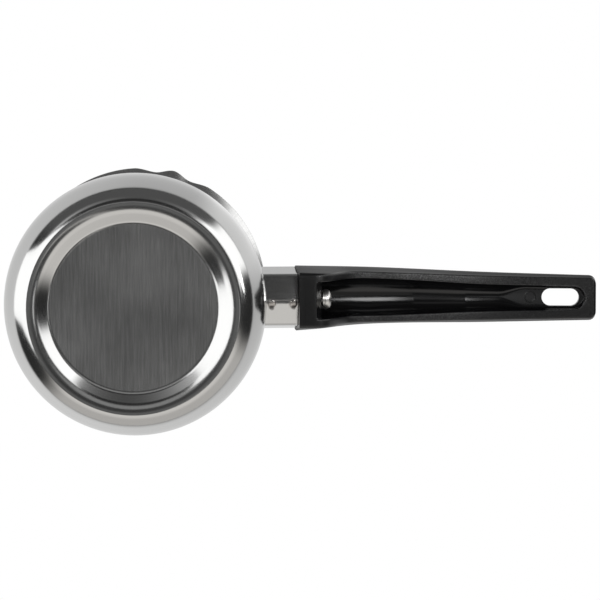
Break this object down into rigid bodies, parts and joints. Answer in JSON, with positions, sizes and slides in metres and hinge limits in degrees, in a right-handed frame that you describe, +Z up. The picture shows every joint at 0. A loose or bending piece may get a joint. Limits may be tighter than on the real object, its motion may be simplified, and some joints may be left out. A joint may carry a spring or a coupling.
{
  "type": "cezve",
  "caption": "Round-bellied steel coffee pot with a flared rim, a pressed pouring lip and a channelled black handle screwed to a welded ferrule, for brewing on a stove.",
  "frame": {"origin": "on the pot's axis, in the plane of the ring that the pot stands on", "axes": "+Z up along the pot's axis, +X along the handle away from the pot, the pouring lip on the -Y side"},
  "size_m": [0.2186, 0.096, 0.0857],
  "materials": {
    "polished_steel": "mirror-polished wall with fine turned hairlines and a linear-brushed base",
    "sheet_steel": "polished folded sheet with two tinted weld tacks on its seam",
    "plated_steel": "bright plated",
    "black_moulding": "glossy moulded thermoset"
  },
  "bodies": {
    "root": {"pot_body": "polished_steel", "ferrule": "sheet_steel", "tapped_plate": "plated_steel", "handle": "black_moulding", "lock_washer": "plated_steel", "handle_screw": "plated_steel"}
  },
  "joints": []
}
